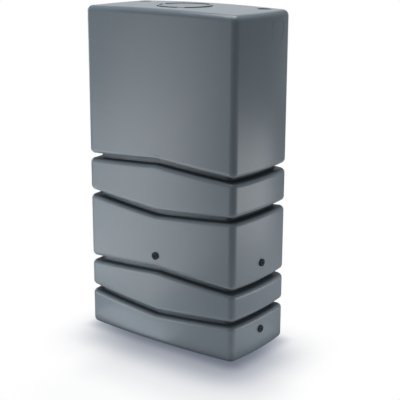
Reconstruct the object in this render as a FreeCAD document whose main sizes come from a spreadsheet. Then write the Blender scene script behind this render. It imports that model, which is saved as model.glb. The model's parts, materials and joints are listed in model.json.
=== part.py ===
import FreeCAD, Part
import os
from types import SimpleNamespace

import Sketcher
from FreeCAD import Placement, Rotation, Vector

# A free-standing wall tank for rainwater, moulded as one hollow plastic shell.
# Four kinked grooves run round the shell and divide it into five bands.
# A low screw lid closes the neck in the top, and three threaded ports in the
# front and the right side are closed with plugs.
# Millimetres. The origin is the middle of the footprint on the ground, +Z is up,
# the bowed front faces -Y and the flat back faces +Y.

document = FreeCAD.newDocument("RainwaterTank")

# Driving sizes

SIZES = [
    ("tank_width", 800),
    ("tank_depth", 400),
    ("tank_height", 1420),
    ("wall", 5),
    ("front_bow", 20),
    ("side_bow", 14),
    ("crown_drop", 9),
    ("corner_radius", 30),
    ("top_edge_radius", 25),
    ("bottom_edge_radius", 20),
    ("groove_1_height", 767),
    ("groove_2_height", 609),
    ("groove_3_height", 301),
    ("groove_4_height", 168),
    ("kink_rise", 30),
    ("groove_slot", 22),
    ("groove_depth_front", 30),
    ("groove_depth_side", 42),
    ("groove_depth_back", 18),
    ("core_corner_radius", 26),
    ("upper_lip_radius", 20),
    ("lower_lip_radius", 18),
    ("crease_radius", 3),
    ("lid_diameter", 228),
    ("lid_gap", 2),
    ("lid_above_crown", 3),
    ("lid_rim_height", 16),
    ("lid_rim_wall", 4),
    ("lid_plate", 4),
    ("lid_edge_radius", 1.5),
    ("lid_dish_diameter", 212),
    ("lid_dish_depth", 3),
    ("lid_dish_draft", 1),
    ("lid_floor_gap", 1),
    ("skirt_diameter", 180),
    ("skirt_wall", 4),
    ("skirt_length", 30),
    ("grip_width", 30),
    ("grip_depth", 10),
    ("grip_count", 3),
    ("lead_size", 2),
    ("neck_gap", 4),
    ("neck_length", 25),
    ("seal_height", 3),
    ("seal_width", 7),
    ("seal_margin", 1),
    ("port_height_upper", 393),
    ("port_height_lower", 100),
    ("side_port_forward", 6),
    ("port_way", 20),
    ("boss_diameter", 44),
    ("boss_length", 24),
    ("insert_diameter", 31),
    ("insert_length", 16),
    ("insert_sink", 0.6),
    ("insert_fit", 0.05),
    ("insert_groove_depth", 0.8),
    ("insert_groove_width", 5),
    ("thread_diameter", 26.4),
    ("thread_height", 1.1),
    ("flange_diameter", 32),
    ("flange_height", 5),
    ("flange_radius", 1.2),
    ("shank_length", 12),
    ("shank_wall", 4),
    ("face_ring_outer", 25),
    ("face_ring_inner", 15),
    ("face_ring_depth", 0.8),
    ("socket_width", 8),
    ("socket_depth", 3),
    ("socket_floor", 3),
    ("washer_diameter", 31),
    ("washer_height", 2),
    ("washer_fit", 0.3),
    ("corner_dish_diameter", 56),
    ("corner_dish_from_side", 88),
    ("corner_dish_from_back", 82),
    ("corner_dish_depth", 3),
]

sheet = document.addObject("Spreadsheet::Sheet", "Sizes")
for row, (alias, number) in enumerate(SIZES, start=1):
    sheet.set("A%d" % row, alias)
    sheet.set("B%d" % row, str(number))
    sheet.setAlias("B%d" % row, alias)
document.recompute()


# A size is a number together with the sheet formula that it comes from

class Size:
    def __init__(self, value, formula):
        self.value = float(value)
        self.formula = formula

    def __add__(self, other):
        other = as_size(other)
        return Size(self.value + other.value, "(%s + %s)" % (self.formula, other.formula))

    def __sub__(self, other):
        other = as_size(other)
        return Size(self.value - other.value, "(%s - %s)" % (self.formula, other.formula))

    def __mul__(self, other):
        other = as_size(other)
        return Size(self.value * other.value, "(%s * %s)" % (self.formula, other.formula))

    def __truediv__(self, other):
        other = as_size(other)
        return Size(self.value / other.value, "(%s / %s)" % (self.formula, other.formula))

    def __neg__(self):
        return Size(-self.value, "(0 - %s)" % self.formula)


def as_size(item):
    if isinstance(item, Size):
        return item
    return Size(item, str(item))


size = SimpleNamespace(
    **{alias: Size(sheet.get(alias), "Sizes.%s" % alias) for alias, _ in SIZES}
)
nothing = Size(0, "0")

# Places worked out from the driving sizes

half_width = size.tank_width / 2
half_depth = size.tank_depth / 2
side_middle = size.front_bow / 2
lid_radius = size.lid_diameter / 2
recess_radius = lid_radius + size.lid_gap
lid_top = size.tank_height + size.lid_above_crown
recess_floor = lid_top - size.lid_rim_height - size.lid_floor_gap
lead_low = size.tank_height - size.lead_size
bore_radius = size.skirt_diameter / 2 + size.neck_gap
neck_bottom = recess_floor - size.neck_length
seal_inner = bore_radius + size.seal_margin
seal_outer = seal_inner + size.seal_width
seal_top = recess_floor + size.seal_height
corner_x = half_width - size.corner_dish_from_side
corner_y = half_depth - size.corner_dish_from_back
crown_fall = size.crown_drop * corner_x * corner_x / (half_width * half_width)
corner_floor = size.tank_height - crown_fall - size.corner_dish_depth

# Each groove has a height at the sides, and rises or falls to the middle of the front
GROOVES = [
    (size.groove_1_height, size.kink_rise),
    (size.groove_2_height, -size.kink_rise),
    (size.groove_3_height, size.kink_rise),
    (size.groove_4_height, -size.kink_rise),
]
# The cutting profiles of the grooves reach this far past the side walls
REACH = 1.05


# Helpers for the parametric document

def bind(item, **properties):
    for name, value in properties.items():
        item.setExpression(name, value.formula)


def new_body(label):
    body = document.addObject("PartDesign::Body", label)
    body.Label = label
    return body


def new_sketch(body, name, role, offset=nothing):
    sketch = body.newObject("Sketcher::SketchObject", name)
    plane = [item for item in body.Origin.OriginFeatures if item.Role == role][0]
    sketch.AttachmentSupport = [(plane, "")]
    sketch.MapMode = "FlatFace"
    sketch.setExpression("AttachmentOffset.Base.z", offset.formula)
    return sketch


def constrain(sketch, *constraint, value=None):
    if value is None:
        return sketch.addConstraint(Sketcher.Constraint(*constraint))
    index = sketch.addConstraint(Sketcher.Constraint(*constraint, value.value))
    sketch.setExpression("Constraints[%d]" % index, value.formula)
    return index


def draw_outline(sketch, corners, bows=None):
    """Close a loop through corners, counter-clockwise, with arcs where bows names a bow."""
    bows = bows or {}
    ends = []
    for index, (x, y) in enumerate(corners):
        x_next, y_next = corners[(index + 1) % len(corners)]
        start = Vector(x.value, y.value, 0)
        finish = Vector(x_next.value, y_next.value, 0)
        if index not in bows:
            geometry = sketch.addGeometry(Part.LineSegment(start, finish))
            ends.append((geometry, 1, 2))
            continue
        bow = bows[index]
        chord = finish - start
        outward = Vector(chord.y, -chord.x, 0).normalize()
        middle = (start + finish) * 0.5 + outward * bow.value
        geometry = sketch.addGeometry(Part.Arc(start, middle, finish))
        ends.append((geometry, 1, 2) if bow.value > 0 else (geometry, 2, 1))
        dx = x_next - x
        dy = y_next - y
        radius = ((dx * dx + dy * dy) / 4 + bow * bow) / (bow * 2)
        constrain(sketch, "Radius", geometry, value=radius if bow.value > 0 else -radius)
    for index, (geometry, start, finish) in enumerate(ends):
        next_geometry, next_start, _ = ends[(index + 1) % len(ends)]
        constrain(sketch, "Coincident", geometry, finish, next_geometry, next_start)
        constrain(sketch, "DistanceX", geometry, start, value=corners[index][0])
        constrain(sketch, "DistanceY", geometry, start, value=corners[index][1])


def pad(body, name, sketch, length):
    feature = body.newObject("PartDesign::Pad", name)
    feature.Profile = sketch
    bind(feature, Length=length)
    document.recompute()
    return feature


def pocket_through(body, name, sketch, side_type):
    volume_before = body.Shape.Volume
    feature = body.newObject("PartDesign::Pocket", name)
    feature.Profile = sketch
    feature.Type = "ThroughAll"
    feature.SideType = side_type
    document.recompute()
    if not body.Shape.Volume < volume_before:
        raise RuntimeError(name + " cuts nothing")
    return feature


def turn(body, name, corners):
    """Turn a half profile about the body's Z axis."""
    profile = new_sketch(body, name + "_profile", "XZ_Plane")
    draw_outline(profile, corners)
    feature = body.newObject("PartDesign::Revolution", name)
    feature.Profile = profile
    feature.ReferenceAxis = (profile, ["V_Axis"])
    feature.Angle = 360
    document.recompute()
    return feature


def place(item, base, direction=Vector(0, 0, 1)):
    numbers = [part.value for part in base]
    item.Placement = Placement(Vector(*numbers), Rotation(Vector(0, 0, 1), direction))
    for axis, part in zip("xyz", base):
        item.setExpression("Placement.Base." + axis, part.formula)
    return item


def join(label, shapes):
    feature = document.addObject("Part::MultiFuse", label)
    feature.Shapes = shapes
    return feature


def cut(label, base, tool):
    feature = document.addObject("Part::Cut", label)
    feature.Base = base
    feature.Tool = tool
    return feature


def cylinder(label, radius, height, base):
    feature = document.addObject("Part::Cylinder", label)
    bind(feature, Radius=radius, Height=height)
    return place(feature, base)


def fillet(body, name, edges, radius):
    if not edges:
        raise RuntimeError(name + " finds no edge")
    base = body.Tip
    feature = body.newObject("PartDesign::Fillet", name)
    feature.Base = (base, edges)
    bind(feature, Radius=radius)
    document.recompute()
    return feature


def edges_where(body, wanted):
    return [
        "Edge%d" % number
        for number, edge in enumerate(body.Shape.Edges, start=1)
        if wanted(edge)
    ]


def middle_of(edge):
    return edge.valueAt((edge.FirstParameter + edge.LastParameter) / 2)


def is_straight_along(edge, direction):
    if edge.Curve.TypeId != "Part::GeomLine":
        return False
    return edge.Curve.Direction.cross(direction).Length < 1e-6


def joins_wall_and_flank(shape, edge):
    """True where an upright face meets a nearly level one."""
    point = middle_of(edge)
    steepness = []
    for face in shape.ancestorsOfType(edge, Part.Face):
        u, v = face.Surface.parameter(point)
        steepness.append(abs(face.normalAt(u, v).z))
    return min(steepness) < 0.1 and max(steepness) > 0.9


def groove_side(point):
    """1 above the middle of a groove's slot, -1 below it, 0 away from every groove."""
    share = abs(point.x) / half_width.value
    for height, rise in GROOVES:
        away = point.z - (height.value + rise.value * (1 - share))
        if abs(away) < size.groove_slot.value:
            return 1 if away > 0 else -1
    return 0


# The banded form: drawn once for the outside and once, a wall smaller, for the inside

def plan_corners(side_inset, front_inset, back_inset):
    side = half_width - size.side_bow - side_inset
    front = -half_depth + size.front_bow + front_inset
    back = half_depth - back_inset
    return [(-side, front), (side, front), (side, back), (-side, back)]


def draw_plan(sketch, side_inset, front_inset, back_inset):
    bows = {0: size.front_bow, 1: size.side_bow, 3: size.side_bow}
    draw_outline(sketch, plan_corners(side_inset, front_inset, back_inset), bows)


def banded_form(label, inset):
    body = new_body(label)
    body.AllowCompound = True

    plan = new_sketch(body, label + "_plan", "XY_Plane", inset)
    draw_plan(plan, inset, inset, inset)
    pad(body, label + "_block", plan, size.tank_height)
    upright = edges_where(body, lambda edge: is_straight_along(edge, Vector(0, 0, 1)))
    fillet(body, label + "_corners", upright, size.corner_radius - inset)

    crown = new_sketch(body, label + "_crown_line", "XZ_Plane")
    crown_middle = size.tank_height - inset
    crown_end = crown_middle - size.crown_drop
    ceiling = size.tank_height + size.tank_height / 2
    corners = [
        (-half_width, crown_end),
        (half_width, crown_end),
        (half_width, ceiling),
        (-half_width, ceiling),
    ]
    draw_outline(crown, corners, {0: -size.crown_drop})
    pocket_through(body, label + "_crown", crown, "Symmetric")

    slots = new_sketch(body, label + "_slot_lines", "XZ_Plane")
    end = half_width * REACH
    half_slot = size.groove_slot / 2 + inset
    for height, rise in GROOVES:
        middle = height + rise
        end_height = middle - rise * REACH
        corners = [
            (-end, end_height - half_slot),
            (nothing, middle - half_slot),
            (end, end_height - half_slot),
            (end, end_height + half_slot),
            (nothing, middle + half_slot),
            (-end, end_height + half_slot),
        ]
        draw_outline(slots, corners)
    pocket_through(body, label + "_slots", slots, "Symmetric")

    def rims(wanted_side, wanted_height):
        shape = body.Shape
        return edges_where(body, lambda edge: joins_wall_and_flank(shape, edge)
                           and groove_side(middle_of(edge)) == wanted_side
                           and wanted_height(middle_of(edge).z))

    half_height = size.tank_height.value / 2
    fillet(body, label + "_top_edge", rims(0, lambda z: z > half_height),
           size.top_edge_radius - inset)
    fillet(body, label + "_bottom_edge", rims(0, lambda z: z < half_height),
           size.bottom_edge_radius - inset)
    fillet(body, label + "_upper_lips", rims(1, lambda z: True),
           size.upper_lip_radius - inset)
    fillet(body, label + "_lower_lips", rims(-1, lambda z: True),
           size.lower_lip_radius - inset)

    core_bottom = size.groove_4_height - size.kink_rise - size.groove_slot * 2
    core_top = size.groove_1_height + size.kink_rise + size.groove_slot * 2
    core = new_sketch(body, label + "_core_plan", "XY_Plane", core_bottom)
    draw_plan(core, size.groove_depth_side + inset, size.groove_depth_front + inset,
              size.groove_depth_back + inset)
    pad(body, label + "_core", core, core_top - core_bottom)
    upright = edges_where(body, lambda edge: is_straight_along(edge, Vector(0, 0, 1))
                          and groove_side(middle_of(edge)) != 0)
    fillet(body, label + "_core_corners", upright, size.core_corner_radius - inset)
    creases = rims(1, lambda z: True) + rims(-1, lambda z: True)
    fillet(body, label + "_creases", creases, size.crease_radius + inset)
    return body


outside = banded_form("tank_outside", nothing)
inside = banded_form("tank_inside", size.wall)

# The mouth: a small sloped lead-in round the lid, the lid's recess and the neck bore

mouth_cut = new_body("mouth_cut")
turn(mouth_cut, "mouth_cut_form", [
    (nothing, neck_bottom - size.wall),
    (bore_radius, neck_bottom - size.wall),
    (bore_radius, recess_floor),
    (recess_radius, recess_floor),
    (recess_radius, lead_low),
    (recess_radius + size.wall, lead_low + size.wall),
    (nothing, lead_low + size.wall),
])

mouth_block = new_body("mouth_block")
turn(mouth_block, "mouth_block_form", [
    (nothing, neck_bottom),
    (bore_radius + size.wall, neck_bottom),
    (bore_radius + size.wall, recess_floor - size.wall),
    (recess_radius + size.wall, recess_floor - size.wall),
    (recess_radius + size.wall, size.tank_height),
    (nothing, size.tank_height),
])

# The ports: each has a boss inside the wall and a stepped bore for its insert

insert_radius = size.insert_diameter / 2
insert_bottom = -size.insert_sink - size.insert_length
insert_top = -size.insert_sink
groove_low = insert_bottom + (size.insert_length - size.insert_groove_width) / 2
groove_high = groove_low + size.insert_groove_width
groove_radius = insert_radius - size.insert_groove_depth
thread_radius = size.thread_diameter / 2
flange_low = insert_top + size.washer_height
flange_top = flange_low + size.flange_height
shank_radius = thread_radius - size.thread_height
shank_low = flange_low - size.shank_length
hollow_top = flange_top - size.socket_depth - size.socket_floor

side_port_y = side_middle - size.side_port_forward
FRONT = Vector(0, -1, 0)
RIGHT = Vector(1, 0, 0)
PORTS = [
    ("front", (nothing, -half_depth, size.port_height_upper), FRONT),
    ("side_upper", (half_width, side_port_y, size.port_height_upper), RIGHT),
    ("side_lower", (half_width, side_port_y, size.port_height_lower), RIGHT),
]


def port_boss(name):
    boss = new_body(name + "_boss")
    turn(boss, name + "_boss_form", [
        (nothing, -size.boss_length),
        (size.boss_diameter / 2, -size.boss_length),
        (size.boss_diameter / 2, nothing),
        (nothing, nothing),
    ])
    return boss


def port_bore(name):
    bore = new_body(name + "_bore")
    wide = insert_radius + size.insert_fit
    narrow = groove_radius + size.insert_fit
    turn(bore, name + "_bore_form", [
        (nothing, -size.boss_length - size.wall),
        (size.port_way / 2, -size.boss_length - size.wall),
        (size.port_way / 2, insert_bottom),
        (wide, insert_bottom),
        (wide, groove_low + size.insert_fit),
        (narrow, groove_low + size.insert_fit),
        (narrow, groove_high - size.insert_fit),
        (wide, groove_high - size.insert_fit),
        (wide, size.wall),
        (nothing, size.wall),
    ])
    return bore


bosses = [place(port_boss(name), base, outward) for name, base, outward in PORTS]
bores = [place(port_bore(name), base, outward) for name, base, outward in PORTS]

# Low round dishes near the back corners of the top, each with a full wall under it

corner_radius = size.corner_dish_diameter / 2
corner_blocks = []
corner_dishes = []
for name, x in (("left", -corner_x), ("right", corner_x)):
    corner_blocks.append(cylinder(name + "_corner_block", corner_radius + size.wall,
                                  size.corner_dish_depth + size.wall,
                                  (x, corner_y, corner_floor - size.wall)))
    corner_dishes.append(cylinder(name + "_corner_dish", corner_radius, size.wall * 2,
                                  (x, corner_y, corner_floor)))

# The shell: the outside less the hollow, the mouth, the bores and the dishes

hollow_blocks = join("hollow_blocks", [mouth_block] + bosses + corner_blocks)
hollow = cut("tank_hollow", inside, hollow_blocks)
shell = cut("tank_shell", outside, hollow)
tank_openings = join("tank_openings", [mouth_cut] + bores + corner_dishes)
tank_body = cut("tank_body", shell, tank_openings)
document.recompute()

# The screw lid: a plate with a raised rim, a rib on the seal and a threaded skirt

lid = new_body("lid")
dish_top = lid_top - size.lid_dish_depth
plate_low = dish_top - size.lid_plate
skirt_outer = size.skirt_diameter / 2
skirt_inner = skirt_outer - size.skirt_wall
skirt_low = plate_low - size.skirt_length
rim_low = lid_top - size.lid_rim_height
dish_radius = size.lid_dish_diameter / 2
turn(lid, "lid_form", [
    (nothing, plate_low),
    (skirt_inner, plate_low),
    (skirt_inner, skirt_low),
    (skirt_outer, skirt_low),
    (skirt_outer, plate_low),
    (seal_inner + size.seal_margin, plate_low),
    (seal_inner + size.seal_margin, seal_top),
    (seal_outer - size.seal_margin, seal_top),
    (seal_outer - size.seal_margin, plate_low),
    (lid_radius - size.lid_rim_wall, plate_low),
    (lid_radius - size.lid_rim_wall, rim_low),
    (lid_radius, rim_low),
    (lid_radius, lid_top),
    (dish_radius, lid_top),
    (dish_radius - size.lid_dish_draft, dish_top),
    (nothing, dish_top),
])


def is_top_circle(edge):
    return (edge.Curve.TypeId == "Part::GeomCircle"
            and abs(middle_of(edge).z - lid_top.value) < 1e-6)


fillet(lid, "lid_edges", edges_where(lid, is_top_circle), size.lid_edge_radius)
grip = new_sketch(lid, "grip_outline", "XY_Plane", lid_top)
grip_inner = lid_radius - size.grip_depth
grip_outer = lid_radius + size.grip_depth
half_grip = size.grip_width / 2
draw_outline(grip, [
    (-grip_outer, -half_grip),
    (-grip_inner, -half_grip),
    (-grip_inner, half_grip),
    (-grip_outer, half_grip),
])
grip_notch = pocket_through(lid, "grip_notch", grip, "One side")
grips = lid.newObject("PartDesign::PolarPattern", "grips")
grips.Originals = [grip_notch]
grips.Axis = (grip, ["N_Axis"])
grips.Angle = 360
grips.setExpression("Occurrences", size.grip_count.formula)
lid.Tip = grips
document.recompute()

lid_seal = new_body("lid_seal")
turn(lid_seal, "lid_seal_form", [
    (seal_inner, recess_floor),
    (seal_outer, recess_floor),
    (seal_outer, seal_top),
    (seal_inner, seal_top),
])

# The three closed ports: a moulded-in insert, a washer and a plug in each

PIECES = [tank_body, lid, lid_seal]


def port_insert(name):
    insert = new_body(name + "_insert")
    turn(insert, name + "_insert_form", [
        (thread_radius, insert_bottom),
        (insert_radius, insert_bottom),
        (insert_radius, groove_low),
        (groove_radius, groove_low),
        (groove_radius, groove_high),
        (insert_radius, groove_high),
        (insert_radius, insert_top),
        (thread_radius, insert_top),
    ])
    return insert


def port_washer(name):
    washer = new_body(name + "_plug_washer")
    washer_inner = thread_radius + size.washer_fit
    turn(washer, name + "_plug_washer_form", [
        (washer_inner, insert_top),
        (size.washer_diameter / 2, insert_top),
        (size.washer_diameter / 2, flange_low),
        (washer_inner, flange_low),
    ])
    return washer


def port_plug(name):
    plug = new_body(name + "_plug")
    flange = size.flange_diameter / 2
    hollow_radius = shank_radius - size.shank_wall
    turn(plug, name + "_plug_form", [
        (nothing, hollow_top),
        (hollow_radius, hollow_top),
        (hollow_radius, shank_low),
        (shank_radius, shank_low),
        (shank_radius, flange_low),
        (flange, flange_low),
        (flange, flange_top),
        (size.face_ring_outer / 2, flange_top),
        (size.face_ring_outer / 2, flange_top - size.face_ring_depth),
        (size.face_ring_inner / 2, flange_top - size.face_ring_depth),
        (size.face_ring_inner / 2, flange_top),
        (nothing, flange_top),
    ])
    rim = edges_where(plug, lambda edge: abs(middle_of(edge).z - flange_top.value) < 1e-6
                      and edge.Curve.TypeId == "Part::GeomCircle"
                      and abs(edge.Curve.Radius - flange.value) < 1e-6)
    fillet(plug, name + "_plug_rim", rim, size.flange_radius)
    socket = new_sketch(plug, name + "_socket_outline", "XY_Plane", flange_top)
    half = size.socket_width / 2
    draw_outline(socket, [(-half, -half), (half, -half), (half, half), (-half, half)])
    feature = plug.newObject("PartDesign::Pocket", name + "_socket")
    feature.Profile = socket
    bind(feature, Length=size.socket_depth)
    document.recompute()
    return plug


for name, base, outward in PORTS:
    for make in (port_insert, port_washer, port_plug):
        PIECES.append(place(make(name), base, outward))
document.recompute()

# Check every object, then write one file for each piece

for item in document.Objects:
    for problem in ("Invalid", "Error"):
        if problem in item.State:
            raise RuntimeError(item.Label + " is in the state " + problem)

os.makedirs("parts", exist_ok=True)
for piece in PIECES:
    shape = piece.Shape
    if shape.isNull() or not shape.isValid() or len(shape.Solids) != 1:
        raise RuntimeError(piece.Label + " isn't one valid solid")
    shape.exportStep("parts/%s.step" % piece.Label)
    print(piece.Label, round(shape.Volume), len(shape.Faces))
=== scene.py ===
import json
import math

import bpy
from mathutils import Matrix, Vector


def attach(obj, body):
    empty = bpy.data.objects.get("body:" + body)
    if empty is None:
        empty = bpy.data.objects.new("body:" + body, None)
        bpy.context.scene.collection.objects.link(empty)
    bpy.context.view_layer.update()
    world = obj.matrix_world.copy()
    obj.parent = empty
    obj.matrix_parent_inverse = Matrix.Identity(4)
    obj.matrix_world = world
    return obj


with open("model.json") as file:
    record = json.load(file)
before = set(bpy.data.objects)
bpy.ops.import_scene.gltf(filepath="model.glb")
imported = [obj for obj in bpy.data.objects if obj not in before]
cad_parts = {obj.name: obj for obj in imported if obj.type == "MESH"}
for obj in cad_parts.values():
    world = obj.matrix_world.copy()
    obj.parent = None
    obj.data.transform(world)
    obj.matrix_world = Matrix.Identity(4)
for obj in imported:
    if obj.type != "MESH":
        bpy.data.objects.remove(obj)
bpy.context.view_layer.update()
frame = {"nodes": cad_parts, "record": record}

NODES = frame["nodes"]

# The fine pieces are written in millimetres, as the solids are. Lights, camera, floor and
# materials are in metres.
MM = 0.001

# Sizes of the solids that the fine pieces follow
TANK_WIDTH, TANK_DEPTH, TANK_HEIGHT = 800.0, 400.0, 1420.0
FRONT_BOW, SIDE_BOW, CROWN_DROP = 20.0, 14.0, 9.0
TOP_EDGE_RADIUS = 25.0
SIDE_PORT_FORWARD = 6.0
PORT_HEIGHT_UPPER, PORT_HEIGHT_LOWER = 393.0, 100.0
LID_SKIRT_RADIUS, NECK_GAP = 90.0, 4.0
INSERT_BORE_RADIUS, PIPE_THREAD_HEIGHT = 13.2, 1.1

# The right wall is an arc from the front corner to the back corner, seen from above
SIDE_FRONT_Y = FRONT_BOW - TANK_DEPTH / 2
SIDE_BACK_Y = TANK_DEPTH / 2
SIDE_MIDDLE_Y = (SIDE_FRONT_Y + SIDE_BACK_Y) / 2
SIDE_HALF_CHORD = (SIDE_BACK_Y - SIDE_FRONT_Y) / 2
SIDE_RADIUS = (SIDE_HALF_CHORD ** 2 + SIDE_BOW ** 2) / (2 * SIDE_BOW)
TOP_ROUNDING_START = TANK_HEIGHT - CROWN_DROP - TOP_EDGE_RADIUS


# Materials

# The Mix node has sockets of the same name for each kind of data, so the ones for colours
# are reached by number. The two inputs of a Mix Shader node share a name as well.
MIX_FIRST_COLOUR, MIX_SECOND_COLOUR, MIX_RESULT_COLOUR = 6, 7, 2
MIX_FIRST_SHADER, MIX_SECOND_SHADER = 1, 2

# Noise lies mostly between these two values. Each finer layer of it has the share named
# roughness of the layer before.
NOISE_LOW, NOISE_HIGH = 0.3, 0.7
NOISE_ROUGHNESS = 0.55


class Surface:
    """A procedural material, built node by node."""

    def __init__(self, name):
        self.material = bpy.data.materials.new(name)
        self.material.use_nodes = True
        self.tree = self.material.node_tree
        self.shader = self.tree.nodes["Principled BSDF"]

    def set(self, **values):
        """Sets inputs of the shader. An underscore stands for a space in an input's name."""
        for name, value in values.items():
            self.shader.inputs[name.replace("_", " ")].default_value = value

    def drive(self, name, socket):
        self.tree.links.new(socket, self.shader.inputs[name])

    def node(self, kind, inputs=None, **properties):
        """A new node. Each input is either a socket to link or a value to set."""
        made = self.tree.nodes.new(kind)
        for name, value in properties.items():
            setattr(made, name, value)
        for name, value in (inputs or {}).items():
            if isinstance(value, bpy.types.NodeSocket):
                self.tree.links.new(value, made.inputs[name])
            else:
                made.inputs[name].default_value = value
        return made

    def noise(self, scale, detail):
        place = self.node("ShaderNodeTexCoord")
        return self.node("ShaderNodeTexNoise", {
            "Vector": place.outputs["Object"], "Scale": scale,
            "Detail": detail, "Roughness": NOISE_ROUGHNESS}).outputs["Fac"]

    def ramp(self, socket, low, high, start, end):
        """Goes from low to high while the socket goes from start to end."""
        return self.node("ShaderNodeMapRange", {
            "Value": socket, "From Min": start, "From Max": end,
            "To Min": low, "To Max": high}).outputs["Result"]

    def tint(self, noise, dark, light):
        """A colour between dark and light, as the noise says."""
        share = self.ramp(noise, 0, 1, NOISE_LOW, NOISE_HIGH)
        mix = self.node("ShaderNodeMix", {
            "Factor": share, MIX_FIRST_COLOUR: (*dark, 1), MIX_SECOND_COLOUR: (*light, 1)},
            data_type="RGBA")
        return mix.outputs[MIX_RESULT_COLOUR]

    def scaled(self, colour, level):
        return self.node("ShaderNodeVectorMath", {
            "Vector": colour, "Scale": level}, operation="SCALE").outputs["Vector"]

    def calculate(self, operation, first, second=0.0):
        return self.node("ShaderNodeMath", {0: first, 1: second},
                         operation=operation).outputs["Value"]

    def bump(self, height, distance, strength, below=None):
        """Bumps the normal by the height, on top of the bumped normal below it, if there is one."""
        inputs = {"Height": height, "Distance": distance, "Strength": strength}
        if below is not None:
            inputs["Normal"] = below
        return self.node("ShaderNodeBump", inputs).outputs["Normal"]


# Moulded plastic has broad mottling, long low waves and a fine grain. Scales are per metre.
MOTTLE_SCALE, MOTTLE_DETAIL = 2.2, 4.0
MOTTLE_COLOUR_SPREAD, MOTTLE_ROUGHNESS_SPREAD = 0.035, 0.03
WAVE_SCALE, WAVE_DETAIL, WAVE_HEIGHT, WAVE_STRENGTH = 3.5, 2.0, 0.0012, 0.35
GRAIN_SCALE, GRAIN_DETAIL, GRAIN_HEIGHT, GRAIN_STRENGTH = 900.0, 2.0, 0.00006, 0.6
OPENNESS_SAMPLES = 12


def moulded_plastic(name, colour, roughness, painted_shade, reach=0.045, only_local=True, gloss=0.5):
    """Matte moulded plastic, slightly mottled. Painted shade darkens the colour and the gloss of
    what lies deep.

    The three numbers of the painted shade are the level of colour left in the deepest places,
    the openness up to which a place counts as deepest, and the openness from which it is
    unshaded. Openness is measured within the reach, against the piece alone or against all pieces.
    """
    made = Surface(name)
    mottle = made.noise(MOTTLE_SCALE, MOTTLE_DETAIL)
    dark = [share * (1 - MOTTLE_COLOUR_SPREAD) for share in colour]
    light = [share * (1 + MOTTLE_COLOUR_SPREAD) for share in colour]
    # Painted shade: colour and specular level are darkened where ambient occlusion finds a hollow,
    # such as a groove, a gap or a recess
    openness = made.node("ShaderNodeAmbientOcclusion", {"Distance": reach},
                         samples=OPENNESS_SAMPLES, only_local=only_local).outputs["AO"]
    deepest_shade_level, deepest, unshaded_from = painted_shade
    unshaded_share = made.ramp(openness, deepest_shade_level, 1.0, deepest, unshaded_from)
    made.drive("Base Color", made.scaled(made.tint(mottle, dark, light), unshaded_share))
    squared_unshaded_share = made.calculate("MULTIPLY", unshaded_share, unshaded_share)
    made.drive("Specular IOR Level", made.calculate("MULTIPLY", squared_unshaded_share, gloss))
    made.drive("Roughness", made.ramp(mottle, roughness - MOTTLE_ROUGHNESS_SPREAD,
                                      roughness + MOTTLE_ROUGHNESS_SPREAD,
                                      NOISE_LOW, NOISE_HIGH))
    waves = made.bump(made.noise(WAVE_SCALE, WAVE_DETAIL), WAVE_HEIGHT, WAVE_STRENGTH)
    made.drive("Normal", made.bump(made.noise(GRAIN_SCALE, GRAIN_DETAIL), GRAIN_HEIGHT,
                                   GRAIN_STRENGTH, below=waves))
    return made.material


def fine_grained(name, dark, light, scale, detail, height, strength, **values):
    """A plain material whose colour and surface follow one fine noise."""
    made = Surface(name)
    grain = made.noise(scale, detail)
    made.drive("Base Color", made.tint(grain, dark, light))
    made.drive("Normal", made.bump(grain, height, strength))
    made.set(**values)
    return made.material


def rubber(name):
    return fine_grained(name, (0.012, 0.012, 0.012), (0.020, 0.020, 0.020), scale=1400.0,
                        detail=2.0, height=0.00003, strength=0.5, Roughness=0.75)


def turned_brass(name):
    return fine_grained(name, (0.62, 0.42, 0.14), (0.72, 0.52, 0.20), scale=600.0,
                        detail=3.0, height=0.00002, strength=0.4, Roughness=0.32, Metallic=1.0)


SHELL_COLOUR = (0.190, 0.233, 0.271)
PLUG_COLOUR = (0.034, 0.040, 0.045)
# The shade numbers of each plastic paint shade into its hollows: the shell's grooves, the lid's
# rim, gap and notches, and the plug's recesses
MATERIALS = {
    "shell": moulded_plastic("shell", SHELL_COLOUR, roughness=0.32, painted_shade=(0.45, 0.2, 0.85)),
    "lid": moulded_plastic("lid", SHELL_COLOUR, roughness=0.34, painted_shade=(0.05, 0.5, 1.0),
                           reach=0.03, only_local=False),
    "plug": moulded_plastic("plug", PLUG_COLOUR, roughness=0.5, painted_shade=(0.12, 0.45, 1.0),
                            reach=0.006, only_local=False, gloss=0.1),
    "seal": rubber("seal"),
    "washer": rubber("washer"),
    "insert": turned_brass("insert"),
}
SLOT_OF = {part["node"]: part["material_slot"] for part in frame["record"]["subparts"]}
for name, node in NODES.items():
    node.data.materials.clear()
    node.data.materials.append(MATERIALS[SLOT_OF[name]])


# Fine pieces that the solids leave out

def mesh_piece(name, rings, closed=False, smooth=False):
    """A solid from rings of points, one ring for each step along its path.

    A closed path joins its last ring to its first, and an open one gets a cap at both ends.
    """
    count = len(rings[0])
    points = [Vector(point) * MM for ring in rings for point in ring]
    faces = []
    steps = len(rings) if closed else len(rings) - 1
    for step in range(steps):
        here = step * count
        there = (step + 1) % len(rings) * count
        for side in range(count):
            following = (side + 1) % count
            faces.append((here + side, here + following, there + following, there + side))
    if not closed:
        last = steps * count
        faces.append(tuple(range(count))[::-1])
        faces.append(tuple(range(last, last + count)))
    mesh = bpy.data.meshes.new(name)
    mesh.from_pydata(points, [], faces)
    mesh.update()
    for face in mesh.polygons:
        face.use_smooth = smooth
    piece = bpy.data.objects.new(name, mesh)
    bpy.context.scene.collection.objects.link(piece)
    return piece


def dress(piece, slot, body):
    """Gives a fine piece its material and slot, and the body that it moves with."""
    piece.data.materials.append(MATERIALS[slot])
    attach(piece, body)


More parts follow.
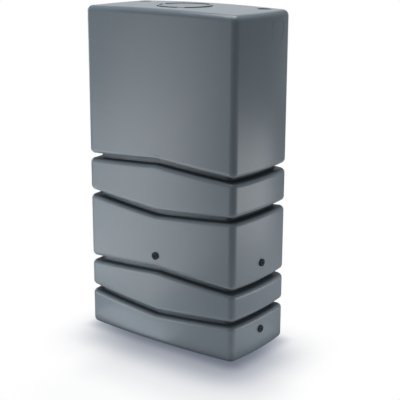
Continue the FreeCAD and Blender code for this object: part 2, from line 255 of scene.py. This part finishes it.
# A thread's ridge: its foot reaches into the solid that carries it, its crest is a third as
# wide as its foot, and it runs in and out over an eighth of its length
THREAD_STEPS_PER_TURN, FEWEST_THREAD_STEPS = 64, 24
FOOT_DEPTH = 0.3
CREST_SHARE = 1 / 3
RUN_OUT_SHARE = 1 / 8
LEAST_HEIGHT_SHARE = 0.02


def thread(name, root, crest, low, high, lead, width, place=Matrix.Identity(4)):
    """A helical ridge from root to crest radius, between two heights on the place's Z axis."""
    turns = (high - low) / lead
    steps = max(FEWEST_THREAD_STEPS, int(turns * THREAD_STEPS_PER_TURN))
    outward = 1 if crest > root else -1
    foot = root - FOOT_DEPTH * outward
    half_foot = width / 2
    half_crest = half_foot * CREST_SHARE
    rings = []
    for step in range(steps + 1):
        share = step / steps
        angle = share * turns * 2 * math.pi
        middle = low + (high - low) * share
        height_share = min(1.0, share / RUN_OUT_SHARE, (1 - share) / RUN_OUT_SHARE)
        top = root + (crest - root) * max(height_share, LEAST_HEIGHT_SHARE)
        section = [(foot, -half_foot), (root, -half_foot), (top, -half_crest),
                   (top, half_crest), (root, half_foot), (foot, half_foot)]
        ring = []
        for radius, rise in section:
            point = Vector((radius * math.cos(angle), radius * math.sin(angle), middle + rise))
            ring.append(place @ point)
        rings.append(ring)
    return mesh_piece(name, rings)


# The lid's and the neck's threads, by their height above the floor. The lead is the one that
# couples the lid's turn to its rise.
LID_LEAD, LID_THREAD_WIDTH = 12.0, 4.0
LID_THREAD = {"root": LID_SKIRT_RADIUS, "crest": 91.9, "low": 1389.5, "high": 1403.0,
              "lead": LID_LEAD, "width": LID_THREAD_WIDTH}
NECK_THREAD = {"root": LID_SKIRT_RADIUS + NECK_GAP, "crest": 92.1, "low": 1384.5, "high": 1401.0,
               "lead": LID_LEAD, "width": LID_THREAD_WIDTH}
dress(thread("lid_thread", **LID_THREAD), "lid", "screw_lid")
dress(thread("neck_thread", **NECK_THREAD), "shell", "tank")

# Each port's place has its origin at the wall's face and its Z axis pointing outward
TURN_TO_FRONT = Matrix.Rotation(math.radians(90), 4, "X")
TURN_TO_RIGHT = Matrix.Rotation(math.radians(90), 4, "Y")
FRONT_FACE_Y = -TANK_DEPTH / 2
RIGHT_FACE_X = TANK_WIDTH / 2
SIDE_PORT_Y = SIDE_MIDDLE_Y - SIDE_PORT_FORWARD
PORTS = {
    "front": Matrix.Translation((0, FRONT_FACE_Y, PORT_HEIGHT_UPPER)) @ TURN_TO_FRONT,
    "side_upper": Matrix.Translation(
        (RIGHT_FACE_X, SIDE_PORT_Y, PORT_HEIGHT_UPPER)) @ TURN_TO_RIGHT,
    "side_lower": Matrix.Translation(
        (RIGHT_FACE_X, SIDE_PORT_Y, PORT_HEIGHT_LOWER)) @ TURN_TO_RIGHT,
}

# The plugs' and the inserts' threads, by their height out of the wall's face. Their pitch is
# that of three-quarter-inch pipe.
PIPE_PITCH, PIPE_THREAD_WIDTH = 1.814, 1.2
PLUG_THREAD = {"root": INSERT_BORE_RADIUS - PIPE_THREAD_HEIGHT, "crest": 12.6,
               "low": -9.9, "high": -1.4, "lead": PIPE_PITCH, "width": PIPE_THREAD_WIDTH}
INSERT_THREAD = {"root": INSERT_BORE_RADIUS, "crest": 12.75,
                 "low": -15.8, "high": -1.4, "lead": PIPE_PITCH, "width": PIPE_THREAD_WIDTH}
for port, place in PORTS.items():
    dress(thread(port + "_plug_thread", **PLUG_THREAD, place=place),
          "plug", port + "_closure")
    dress(thread(port + "_insert_thread", **INSERT_THREAD, place=place),
          "insert", "tank")

# The faint round mark high on the right side: a low bead that follows the bowed wall
MARK_Y, MARK_Z, MARK_RADIUS = 93.0, 1341.0, 48.5
MARK_STEPS = 96
BEAD_RADIUS, BEAD_SINK, BEAD_CORNERS = 1.3, 0.6, 8


def side_wall_x(y, z):
    """Where the right wall's face is, at a place above the top groove."""
    bowed = (TANK_WIDTH / 2 - SIDE_RADIUS
             + math.sqrt(SIDE_RADIUS ** 2 - (y - SIDE_MIDDLE_Y) ** 2))
    over = max(0.0, z - TOP_ROUNDING_START)
    return bowed - (TOP_EDGE_RADIUS - math.sqrt(TOP_EDGE_RADIUS ** 2 - over ** 2))


def side_mark():
    rings = []
    for step in range(MARK_STEPS):
        angle = 2 * math.pi * step / MARK_STEPS
        ring = []
        for corner in range(BEAD_CORNERS):
            turn = 2 * math.pi * corner / BEAD_CORNERS
            radius = MARK_RADIUS + BEAD_RADIUS * math.cos(turn)
            y = MARK_Y + radius * math.cos(angle)
            z = MARK_Z + radius * math.sin(angle)
            x = side_wall_x(y, z) - BEAD_SINK + BEAD_RADIUS * math.sin(turn)
            ring.append((x, y, z))
        rings.append(ring)
    return mesh_piece("side_mark", rings, closed=True, smooth=True)


dress(side_mark(), "shell", "tank")


# Studio: floor, lights and camera

# The camera is fitted to the tank's corners and edges in the photo
CAMERA_PLACE = (2.6160, -3.3304, 1.7592)
CAMERA_AZIMUTH = math.radians(37.259)
CAMERA_ELEVATION = math.radians(15.387)
CAMERA_ROLL = math.radians(0.233)
CAMERA_LENS, CAMERA_SENSOR = 91.764, 36.0

# A soft shadow painted on the floor where the camera sees it, not cast by the lamps: the
# footprint, slid along the floor as if away from a light behind the object. Each term has the slide
# in metres, its turn from the camera's direction in degrees, the softness of the edge in metres and
# the depth.
SHADOW_TERMS = [
    (0.04, 15.0, 0.05, 0.62),
    (0.12, 15.0, 0.22, 0.66),
    (0.18, 0.0, 0.10, 0.24),
    (0.25, 0.0, 0.22, 0.40),
    (0.52, 0.0, 0.10, 0.10),
    (0.78, -15.0, 0.10, 0.025),
]
# Half the tank's width and depth, each 5 mm less
HALF_FOOTPRINT = {"X": 0.395, "Y": 0.195}
# How strongly the painted shadow holds back red, green and blue
SHADOW_TINT = {"Red": 1.06, "Green": 1.0, "Blue": 0.87}

FLOOR_RADIUS, FLOOR_CORNERS = 2.6, 96
FLOOR_COLOUR, FLOOR_ROUGHNESS = (0.60, 0.60, 0.62, 1), 0.9
WORLD_STRENGTH, SEEN_WORLD_STRENGTH = 0.15, 1.0


def shadow_depth(made):
    """How deep the floor's painted shadow is, from the place on the floor."""
    place = made.node("ShaderNodeTexCoord")
    parts = made.node("ShaderNodeSeparateXYZ", {"Vector": place.outputs["Object"]})
    total = 0.0
    for slide, swing, softness, depth in SHADOW_TERMS:
        angle = CAMERA_AZIMUTH + math.radians(swing)
        middle = {"X": math.sin(angle) * slide, "Y": -math.cos(angle) * slide}
        term = depth
        for axis, half in HALF_FOOTPRINT.items():
            offset = made.calculate("SUBTRACT", parts.outputs[axis], middle[axis])
            away = made.calculate("ABSOLUTE", offset)
            within = made.node("ShaderNodeMapRange", {
                "Value": away, "From Min": half - softness, "From Max": half + softness,
                "To Min": 1.0, "To Max": 0.0}, interpolation_type="SMOOTHSTEP")
            term = made.calculate("MULTIPLY", within.outputs["Result"], term)
        total = made.calculate("ADD", total, term)
    return total


def shadow_floor():
    """A white floor. The camera sees it as white paper with a soft shadow painted near the object.
    """
    bpy.ops.mesh.primitive_circle_add(vertices=FLOOR_CORNERS, radius=FLOOR_RADIUS,
                                      fill_type="NGON")
    floor = bpy.context.object
    floor.name = "floor"
    made = Surface("floor")
    made.set(Roughness=FLOOR_ROUGHNESS, Base_Color=FLOOR_COLOUR)
    depth = shadow_depth(made)
    bands = {band: made.calculate("POWER", math.exp(-share), depth)
             for band, share in SHADOW_TINT.items()}
    colour = made.node("ShaderNodeCombineColor", bands)
    painted_shadow_paper = made.node("ShaderNodeEmission", {"Color": colour.outputs["Color"]})
    rays = made.node("ShaderNodeLightPath")
    mix = made.node("ShaderNodeMixShader", {
        "Fac": rays.outputs["Is Camera Ray"],
        MIX_FIRST_SHADER: made.shader.outputs["BSDF"],
        MIX_SECOND_SHADER: painted_shadow_paper.outputs["Emission"]})
    out = made.tree.nodes["Material Output"]
    made.tree.links.new(mix.outputs["Shader"], out.inputs["Surface"])
    floor.data.materials.append(made.material)


def plain_world():
    """Soft even light, and white where the camera looks past the object."""
    world = bpy.data.worlds.new("studio")
    bpy.context.scene.world = world
    world.use_nodes = True
    tree = world.node_tree
    rays = tree.nodes.new("ShaderNodeLightPath")
    level = tree.nodes.new("ShaderNodeMapRange")
    level.inputs["To Min"].default_value = WORLD_STRENGTH
    level.inputs["To Max"].default_value = SEEN_WORLD_STRENGTH
    tree.links.new(rays.outputs["Is Camera Ray"], level.inputs["Value"])
    background = tree.nodes["Background"]
    background.inputs["Color"].default_value = (1, 1, 1, 1)
    tree.links.new(level.outputs["Result"], background.inputs["Strength"])


# The photo's soft light: each box has its name, its place, the point that it faces, its width
# and height in metres and its power in watts
SOFT_BOXES = [
    ("top", (0, 0, 3.6), (0, 0, 0), 2.0, 2.0, 62),
    ("key", (-2.0, -2.72, 0.6), (0, -0.2, 0.6), 1.6, 1.2, 11.5),
    ("key_low", (-1.7, -1.85, 0.3), (0, -0.1, 0.3), 1.4, 0.6, 5.8),
    ("side_low", (1.6, 0.9, 0.27), (0.3, 0, 0.3), 1.4, 0.7, 8.2),
    ("side_level", (2.4, 0.3, 0.62), (0.4, 0.1, 0.62), 1.2, 0.3, 0.5),
    ("back", (0.3, 3.6, 1.2), (0, 0, 0.7), 2.0, 1.6, 8),
    ("back_high", (-1.8, 2.4, 2.3), (0, 0, 1.42), 2.6, 1.6, 8.2),
    ("left", (-3.6, 0.5, 1.2), (0, 0.2, 0.7), 1.6, 1.6, 16),
]
# Boxes lying on the floor and facing up, for the light that a bright floor sends up: each has
# its name, its place on the floor, its width and depth, and its power
FLOOR_GLOWS = [
    ("glow_front_left", -1.0, -1.2, 1.4, 1.4, 14),
    ("glow_front", 0.0, -0.42, 0.9, 0.4, 0.5),
    ("glow_edge", -0.2, -0.3, 0.5, 0.16, 0.23),
    ("glow_side", 1.15, 0.3, 1.1, 1.4, 1.0),
    ("glow_side_near", 0.64, 0.0, 0.4, 0.5, 0.35),
]
GLOW_HEIGHT, GLOW_AIM_HEIGHT = 0.01, 1.0


def soft_box(name, place, target, width, height, power):
    """A rectangular light that the camera doesn't see."""
    data = bpy.data.lights.new(name, "AREA")
    data.shape = "RECTANGLE"
    data.size = width
    data.size_y = height
    data.energy = power
    lamp = bpy.data.objects.new(name, data)
    bpy.context.scene.collection.objects.link(lamp)
    lamp.location = place
    lamp.visible_camera = False
    lamp.rotation_mode = "QUATERNION"
    lamp.rotation_quaternion = (Vector(target) - Vector(place)).to_track_quat("-Z", "Y")


def place_camera():
    data = bpy.data.cameras.new("camera")
    data.sensor_width = CAMERA_SENSOR
    data.lens = CAMERA_LENS
    camera = bpy.data.objects.new("camera", data)
    bpy.context.scene.collection.objects.link(camera)
    azimuth_sine, azimuth_cosine = math.sin(CAMERA_AZIMUTH), math.cos(CAMERA_AZIMUTH)
    elevation_sine, elevation_cosine = math.sin(CAMERA_ELEVATION), math.cos(CAMERA_ELEVATION)
    forward = Vector((-azimuth_sine * elevation_cosine, azimuth_cosine * elevation_cosine,
                      -elevation_sine))
    level = Vector((azimuth_cosine, azimuth_sine, 0))
    upright = level.cross(forward)
    roll_sine, roll_cosine = math.sin(CAMERA_ROLL), math.cos(CAMERA_ROLL)
    right = level * roll_cosine + upright * roll_sine
    up = upright * roll_cosine - level * roll_sine
    axes = Matrix((right, up, -forward)).transposed()
    camera.matrix_world = Matrix.Translation(CAMERA_PLACE) @ axes.to_4x4()
    bpy.context.scene.camera = camera


shadow_floor()
plain_world()
for name, place, target, width, height, power in SOFT_BOXES:
    soft_box(name, place, target, width, height, power)
for name, x, y, width, depth, power in FLOOR_GLOWS:
    soft_box(name, (x, y, GLOW_HEIGHT), (x, y, GLOW_AIM_HEIGHT), width, depth, power)
place_camera()
bpy.context.scene.view_settings.view_transform = "Standard"
